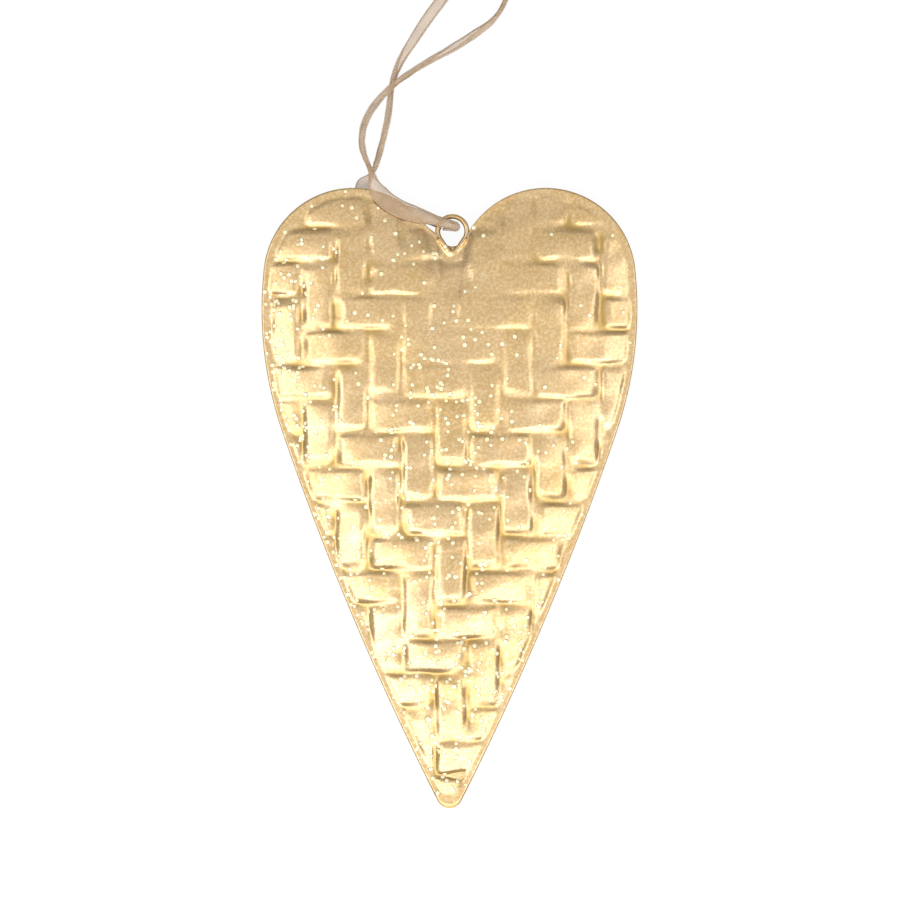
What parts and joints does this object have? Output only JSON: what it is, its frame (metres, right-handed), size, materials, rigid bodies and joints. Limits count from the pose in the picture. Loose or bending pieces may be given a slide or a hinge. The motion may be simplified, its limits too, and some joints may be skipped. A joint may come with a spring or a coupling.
{
  "type": "pressed tin heart ornament",
  "caption": "Hollow heart ornament of two pressed gilt tin sheets with a basket-weave relief, hung from a wire eye on a knotted loop of ribbon.",
  "frame": {"origin": "middle of the heart's own box, on the surface it lies on", "axes": "+Z out of the heart's front, +Y from its tip towards the eye, +X to its right lobe"},
  "size_m": [0.0606, 0.19, 0.0068],
  "materials": {
    "gilt_tin": "gold lacquer over tin, browned in the grooves",
    "gilt_wire": "dull drawn wire",
    "solder": "soft dull solder",
    "ribbon": "thin sheer woven ribbon"
  },
  "bodies": {
    "heart": {"front_shell": "gilt_tin", "back_shell": "gilt_tin", "seam_solder": "solder", "wire_eye": "gilt_wire", "eye_solder": "solder"},
    "hanging_loop": {"ribbon_front": "ribbon", "ribbon_back": "ribbon", "ribbon_knot": "ribbon"}
  },
  "joints": [
    {"name": "loop_swing", "type": "hinge", "parent": "heart", "child": "hanging_loop", "pos_m": [0.00045, 0.04306, 0.0034], "axis": [0, 0, 1], "range_deg": [-90, 0]}
  ]
}
